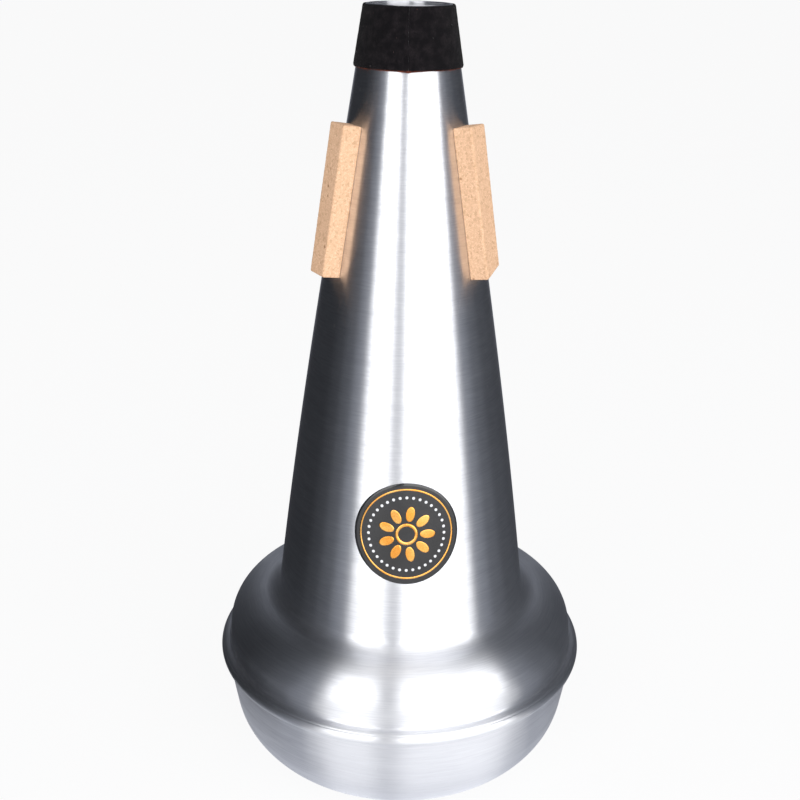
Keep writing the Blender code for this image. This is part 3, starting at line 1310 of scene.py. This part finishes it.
@dataclass
class CorkStrips:
    """The three cork strips that wedge the mute in the bell."""

    sizes: MuteSizes
    granules: GeometryTree
    length: float = 0.0452
    width: float = 0.0087
    thickness: float = 0.0055
    top_drop: float = 0.0335
    glue: float = 0.00006
    worn_edge: float = 0.00055
    cell: float = 0.00036
    chip: float = 0.0015
    chip_slant: float = 0.35

    def bar(self, side: CorkSide) -> bpy.types.Mesh:
        """Return one strip as a finely divided rounded bar laid on the flank.

        Args:
            side: Which strip.

        Returns:
            The mesh in the row frame.
        """
        counts = [max(2, round(size / self.cell)) for size in (self.thickness, self.width, self.length)]
        form = bmesh.new()
        seen: dict[tuple[int, int, int], Any] = {}

        def corner(key: tuple[int, int, int]) -> Any:
            """Vertex of the bar's grid at a whole-number place."""
            if key not in seen:
                seen[key] = form.verts.new([step / count for step, count in zip(key, counts)])
            return seen[key]

        for axis in range(3):
            first, second = [other for other in range(3) if other != axis]
            for level in (0, counts[axis]):
                for one in range(counts[first]):
                    for two in range(counts[second]):
                        ring = []
                        for step_one, step_two in ((0, 0), (1, 0), (1, 1), (0, 1)):
                            key = [0, 0, 0]
                            key[axis] = level
                            key[first] = one + step_one
                            key[second] = two + step_two
                            ring.append(corner(tuple(key)))
                        form.faces.new(ring)
        bmesh.ops.recalc_face_normals(form, faces=form.faces)
        mesh = bpy.data.meshes.new("cork_bar_" + side.label)
        form.to_mesh(mesh)
        form.free()
        middle = self.sizes.height - self.top_drop - self.length / 2.0
        radius, taper = self.sizes.flank(middle)
        turn = Matrix.Rotation(side.value - math.pi / 2.0, 4, "Z")
        lean = Matrix.Rotation(-math.atan(taper), 4, "Y")
        place = turn @ Matrix.Translation((radius, 0.0, middle)) @ lean

        def lay(point: Vector) -> Vector:
            """Round the bar's edges, chip a corner and seat the bar on the cone."""
            full = Vector((self.thickness, self.width, self.length))
            flat = Vector([part * size for part, size in zip(point, full)])
            worn = self.worn_edge
            core = Vector([min(max(part, worn), size - worn) for part, size in zip(flat, full)])
            core.x = min(flat.x, full.x - worn)
            away = flat - core
            if away.length > worn:
                flat = core + away.normalized() * worn
            across = flat.y - self.width / 2.0
            along = flat.z - self.length / 2.0
            if side is CorkSide.RIGHT:
                over = flat.x - (self.thickness - self.chip) + (self.chip - flat.z)
                over += self.chip_slant * (across - self.width / 2.0)
                if over > 0.0:
                    flat.x -= over / 2.0
                    along += over / 2.0
            local_radius = radius - taper * along
            fall = math.sqrt(local_radius ** 2 - across ** 2) - local_radius + self.glue
            share = flat.x / self.thickness
            height = fall + (self.thickness - fall) * share
            return place @ Vector((height, across, along))

        return move_points(mesh, lay)

    def build(self, finish: bpy.types.Material) -> None:
        """Build the three strips.

        Args:
            finish: Material of the cork.
        """
        for side in CorkSide:
            name = "cork_bar_" + side.label
            rough = self.granules.run(name, self.bar(side), finish)
            place_piece(name, tidy_mesh(rough), "cork", "cork_strip_" + side.label)


@dataclass(frozen=True)
class MarkRing:
    """A ring of equal oval marks, its sizes as shares of the label's radius."""

    count: int
    ring: float
    half_length: float
    half_width: float


@dataclass
class RoundLabel:
    """The round label on the front: black film, foil rings, foil petals and pale dots."""

    sizes: MuteSizes
    lathe: GeometryTree
    ring: GeometryTree
    radius: float = 0.0165
    height: float = 0.0969
    azimuth: float = math.radians(2.5)
    stand: float = 0.00004
    film: float = 0.00014
    foil: float = 0.00003
    rim: float = 0.00005
    steps: int = 160
    film_rows: int = 20
    outer_ring: tuple = (0.86, 0.895)
    hub_ring: tuple = (0.155, 0.215)
    petals: MarkRing = MarkRing(9, 0.40, 0.15, 0.085)
    dots: MarkRing = MarkRing(36, 0.72, 0.028, 0.028)

    def wrap(self, point: Vector) -> Vector:
        """Lay a point of the flat label on the cone.

        Args:
            point: Across, up and out of the flat label.

        Returns:
            The point in the row frame.
        """
        radius, taper = self.sizes.flank(self.height)
        lean = math.atan(taper)
        slant = radius / math.sin(lean)
        reach = math.hypot(slant - point.y, point.x)
        height = self.height + (slant - reach) * math.cos(lean)
        turn = self.azimuth + math.atan2(point.x, slant - point.y) / math.sin(lean)
        return self.sizes.on_flank(turn, height, point.z)

    def disc(self, name: str, section: list[Vector], finish: bpy.types.Material) -> bpy.types.Mesh:
        """Turn a flat section and lay it on the cone.

        Args:
            name: Name of the mesh.
            section: Radius and height points.
            finish: Material.

        Returns:
            The mesh in the row frame.
        """
        profile = profile_mesh(name + "_profile", section)
        mesh = self.lathe.run(name, profile, finish, Steps=self.steps)
        return tidy_mesh(move_points(tidy_mesh(mesh), self.wrap))

    def film_section(self) -> list[Vector]:
        """Return the section of the film, with a softened rim.

        Returns:
            The section's points.
        """
        radius, rows, low, top = self.radius, self.film_rows, self.stand, self.stand + self.film
        face = [Vector((radius * row / rows, top)) for row in range(rows)]
        edge = [Vector((radius - self.rim, top)), Vector((radius, top - self.rim))]
        back = [Vector((radius * (1.0 - row / rows), low)) for row in range(rows + 1)]
        return face + edge + back

    def band(self, name: str, shares: tuple[float, float], finish: bpy.types.Material) -> None:
        """Lay a foil ring on the film.

        Args:
            name: Name of the piece.
            shares: Inner and outer radius as shares of the label's.
            finish: Material of the foil.
        """
        inner, outer = [self.radius * share for share in shares]
        place_piece(name, self.disc(name, self.band_section(inner, outer), finish), "label")

    def band_section(self, inner: float, outer: float) -> list[Vector]:
        """Return the closed section of a foil ring.

        Args:
            inner: Inner radius.
            outer: Outer radius.

        Returns:
            The section's points.
        """
        low = self.stand + self.film
        high = low + self.foil
        middle = (inner + outer) / 2.0
        top = [Vector((radius, high)) for radius in (inner, middle, outer)]
        foot = [Vector((radius, low)) for radius in (outer, middle, inner)]
        return [Vector((inner, low))] + top + foot

    def marks(self, name: str, ovals: MarkRing, finish: bpy.types.Material) -> None:
        """Set oval marks round the label.

        Args:
            name: Name of the piece.
            ovals: The ring of marks.
            finish: Material.
        """
        start = bpy.data.meshes.new(name + "_start")
        mesh = self.ring.run(
            name,
            start,
            finish,
            Count=ovals.count,
            Ring=self.radius * ovals.ring,
            Half_length=self.radius * ovals.half_length,
            Half_width=self.radius * ovals.half_width,
            Thickness=self.foil,
        )
        lift = self.stand + self.film + self.foil / 2.0
        move_points(mesh, lambda point: self.wrap(point + Vector((0.0, 0.0, lift))))
        place_piece(name, tidy_mesh(mesh), "label")

    def build(self, film: bpy.types.Material, foil: bpy.types.Material, ink: bpy.types.Material) -> None:
        """Build the label.

        Args:
            film: Material of the black film.
            foil: Material of the orange foil.
            ink: Material of the pale dots.
        """
        disc = self.disc("label_film", self.film_section(), film)
        place_piece("label_film", disc, "label", "label_disc")
        self.band("label_outer_ring", self.outer_ring, foil)
        self.band("label_hub_ring", self.hub_ring, foil)
        self.marks("label_petals", self.petals, foil)
        self.marks("label_dots", self.dots, ink)


@dataclass(frozen=True)
class PhotoCamera:
    """The camera of the photograph, as the outline of the turned shells gives it."""

    distance: float = 0.360
    height: float = 0.2697
    pitch: float = math.radians(21.65)
    roll: float = math.radians(0.87)
    focal_pixels: float = 1176.0
    frame_pixels: float = 800.0
    centre_pixels: float = 403.3
    sensor: float = 36.0

    def build(self) -> None:
        """Place the camera."""
        data = bpy.data.cameras.new("photo_camera")
        data.sensor_width = self.sensor
        data.lens = self.focal_pixels * self.sensor / self.frame_pixels
        data.shift_x = (self.frame_pixels / 2.0 - self.centre_pixels) / self.frame_pixels
        data.clip_start = 0.01
        data.clip_end = 50.0
        camera = bpy.data.objects.new("photo_camera", data)
        bpy.context.scene.collection.objects.link(camera)
        aim = Matrix.Rotation(math.pi / 2.0 - self.pitch, 4, "X") @ Matrix.Rotation(self.roll, 4, "Z")
        camera.matrix_world = Matrix.Translation((0.0, -self.distance, self.height)) @ aim
        bpy.context.scene.camera = camera


def rays(graph: NodeGraph, *kinds: str) -> Any:
    """Return a socket that is 1 on rays of the given kinds.

    Args:
        graph: Graph to add the nodes to.
        *kinds: Kinds of ray, such as Camera or Glossy.

    Returns:
        The output socket.
    """
    path = graph.node("ShaderNodeLightPath")
    share = path.outputs[f"Is {kinds[0]} Ray"]
    for kind in kinds[1:]:
        share = graph.math("MAXIMUM", share, path.outputs[f"Is {kind} Ray"])
    return share


def bare_material(name: str) -> tuple[bpy.types.Material, NodeGraph]:
    """Return a new material whose graph is empty.

    Args:
        name: Name of the material.

    Returns:
        The material and its graph.
    """
    material = bpy.data.materials.new(name)
    material.use_nodes = True
    material.node_tree.nodes.clear()
    return material, NodeGraph(material.node_tree)


def studio_sheet(
    name: str, corners: list, faces: list[tuple], material: bpy.types.Material
) -> bpy.types.Object:
    """Return a thin sheet of the studio.

    Args:
        name: Name of the sheet.
        corners: Its corners.
        faces: Its faces, as numbers of corners.
        material: Its material.

    Returns:
        The object.
    """
    mesh = bpy.data.meshes.new(name)
    mesh.from_pydata(corners, [], faces)
    mesh.materials.append(material)
    sheet = bpy.data.objects.new(name, mesh)
    bpy.context.scene.collection.objects.link(sheet)
    return sheet


def strip_faces(columns: int, rows: int, closed: bool = False) -> list[tuple]:
    """Return the faces between columns of corners.

    Args:
        columns: Number of columns.
        rows: Corners in each column.
        closed: Whether the last column joins the first.

    Returns:
        The faces, as numbers of corners.
    """
    faces = []
    for column in range(columns if closed else columns - 1):
        for row in range(rows - 1):
            low = column * rows + row
            ahead = (column + 1) % columns * rows + row
            faces.append((low, low + 1, ahead + 1, ahead))
    return faces


@dataclass(frozen=True)
class Studio:
    """Pale floor, white surround, two soft panels and a dark tent, open in front, that bands the metal."""

    ambient: float = 0.55
    ambient_tint: tuple = (0.97, 0.98, 1.0, 1.0)
    floor_reach: float = 9.0
    floor_drop: float = 0.0002
    floor_white: float = 0.90
    floor_grey: tuple = (0.88, 0.88, 0.90, 1.0)
    panels: tuple = (
        ("panel_right", 33.0, 1.10, 2.1),
        ("panel_left", -28.0, 0.46, 1.8),
    )
    panel_distance: float = 0.85
    panel_height: float = 1.0
    gap_width: float = 0.19
    gap_distance: float = 0.84
    gap_grey: tuple = (0.30, 0.31, 0.34)
    tent_radius: float = 0.50
    tent_height: float = 0.95
    tent_foot: float = 0.095
    tent_crown: float = 0.02
    tent_lift: float = 0.0005
    sector_step: float = 6.0
    bounce_inner: float = 0.038
    bounce_grey: tuple = (0.66, 0.68, 0.74)
    tint: tuple = (0.93, 0.98, 1.10)
    sectors: tuple = (
        (66.0, 84.0, 0.28),
        (84.0, 102.0, 0.15),
        (102.0, 125.0, 0.09),
        (125.0, 155.0, 0.07),
        (155.0, 205.0, 0.22),
        (205.0, 268.0, 0.036),
        (268.0, 284.0, 0.06),
        (284.0, 300.0, 0.12),
        (300.0, 316.0, 0.28),
    )

    def surround(self) -> None:
        """Make the world: white where it is seen or mirrored, softer where it lights."""
        world = bpy.data.worlds.new("studio_surround")
        bpy.context.scene.world = world
        world.use_nodes = True
        world.node_tree.nodes.clear()
        graph = NodeGraph(world.node_tree)
        seen = rays(graph, "Camera", "Glossy", "Transmission")
        light = graph.node("ShaderNodeBackground", {0: self.ambient_tint, 1: self.ambient})
        white = graph.node("ShaderNodeBackground", {0: WHITE})
        mix = graph.node("ShaderNodeMixShader", {0: seen, 1: light.outputs[0], 2: white.outputs[0]})
        graph.node("ShaderNodeOutputWorld", {0: mix.outputs[0]})

    def floor(self) -> None:
        """Make the floor, which turns white for the camera and keeps the mute's soft shadow."""
        material, graph = bare_material("pale_floor")
        share = graph.math("MULTIPLY", rays(graph, "Camera", "Glossy"), self.floor_white)
        matt = graph.node("ShaderNodeBsdfDiffuse", {0: self.floor_grey})
        glow = graph.node("ShaderNodeEmission", {0: WHITE})
        mix = graph.node("ShaderNodeMixShader", {0: share, 1: matt.outputs[0], 2: glow.outputs[0]})
        graph.node("ShaderNodeOutputMaterial", {0: mix.outputs[0]})
        reach = self.floor_reach
        corners = [(-reach, -reach, 0.0), (reach, -reach, 0.0), (reach, reach, 0.0), (-reach, reach, 0.0)]
        floor = studio_sheet("floor", corners, [(0, 1, 2, 3)], material)
        floor.location.z = -self.floor_drop

    def panel(self, name: str, azimuth: float, width: float, glow: float) -> None:
        """Stand a soft light panel round the mute.

        Args:
            name: Name of the lamp.
            azimuth: Angle from the front in degrees, positive towards +X.
            width: Width of the panel.
            glow: Brightness of the panel.
        """
        data = bpy.data.lights.new(name, "AREA")
        data.shape = "RECTANGLE"
        data.size = width
        data.size_y = self.panel_height
        data.energy = glow * math.pi * width * self.panel_height
        lamp = bpy.data.objects.new(name, data)
        bpy.context.scene.collection.objects.link(lamp)
        middle = self.panel_height / 2.0
        spot = around(math.radians(azimuth), self.panel_distance, middle)
        lamp.location = spot
        lamp.rotation_euler = (Vector((0.0, 0.0, middle)) - spot).to_track_quat("-Z", "Y").to_euler()
        lamp.visible_camera = False

    def card(self, name: str, corners: list, faces: list[tuple], shade: tuple) -> None:
        """Hang a card that only mirrors see.

        Args:
            name: Name of the card.
            corners: Its corners.
            faces: Its faces, as numbers of corners.
            shade: Colour that it shows.
        """
        material, graph = bare_material(name)
        glow = graph.node("ShaderNodeEmission", {0: (*shade, 1.0)})
        graph.node("ShaderNodeOutputMaterial", {0: glow.outputs[0]})
        card = studio_sheet(name, corners, faces, material)
        card.visible_camera = False
        card.visible_diffuse = False
        card.visible_shadow = False
        card.visible_transmission = False

    def tent(self, name: str, start: float, end: float, shade: tuple) -> None:
        """Stand one sector of the tent: its floor, its wall and its roof.

        Args:
            name: Name of the sector.
            start: First angle from the front in degrees, positive towards +X.
            end: Last angle in degrees.
            shade: Colour that it shows.
        """
        rows = (
            (self.tent_foot, self.tent_lift),
            (self.tent_radius, self.tent_lift),
            (self.tent_radius, self.tent_height),
            (self.tent_crown, self.tent_height),
        )
        steps = max(2, round((end - start) / self.sector_step))
        turns = [math.radians(start + (end - start) * step / steps) for step in range(steps + 1)]
        corners = [around(turn, radius, height) for turn in turns for radius, height in rows]
        self.card(name, corners, strip_faces(len(turns), len(rows)), shade)

    def bounce(self) -> None:
        """Lay the grey ring that dulls what the cap mirrors of the floor beside it."""
        steps = round(360.0 / self.sector_step)
        turns = [FULL_TURN * step / steps for step in range(steps)]
        radii = (self.bounce_inner, self.tent_foot)
        corners = [around(turn, radius, self.tent_lift / 2.0) for turn in turns for radius in radii]
        self.card("card_bounce", corners, strip_faces(steps, len(radii), closed=True), self.bounce_grey)

    def gap(self) -> None:
        """Stand the grey card whose image is the thin line down the middle of the bright band."""
        near, left, top = -self.gap_distance, -self.gap_width, self.panel_height
        corners = [(left, near, 0.0), (0.0, near, 0.0), (0.0, near, top), (left, near, top)]
        self.card("card_gap", corners, [(0, 1, 2, 3)], self.gap_grey)

    def build(self) -> None:
        """Build the studio."""
        self.surround()
        self.floor()
        for name, azimuth, width, glow in self.panels:
            self.panel(name, azimuth, width, glow)
        for number, (start, end, grey) in enumerate(self.sectors):
            self.tent(f"tent_{number}", start, end, tuple(grey * part for part in self.tint))
        self.bounce()
        self.gap()


def main() -> None:
    """Build the studio and every piece of the mute."""
    logging.basicConfig(level=logging.INFO, format="%(message)s")
    bpy.context.scene.view_settings.view_transform = "Standard"
    PhotoCamera().build()
    Studio().build()
    sizes = MuteSizes.from_frame()
    lathe = lathe_tree()
    metal = SpunAluminium()
    shells = SpunShells(sizes, lathe)
    shells.build_body(metal.build("spun_body_metal"))
    shells.build_cap(metal.build("spun_cap_metal"))
    sleeve = MouthSleeve(sizes, lathe, nap_tree())
    sleeve.build(
        SoftNeoprene(sleeve.backing_line).build("soft_neoprene"),
        BLACK_NAP.build("black_nap"),
        PALE_LINT.build("pale_lint"),
    )
    CorkStrips(sizes, granule_tree()).build(PressedCork().build("pressed_cork"))
    RoundLabel(sizes, lathe, ring_tree()).build(
        BLACK_FILM.build("black_film"),
        ORANGE_FOIL.build("orange_foil"),
        PALE_INK.build("pale_ink"),
    )


if __name__ == "__main__":
    main()
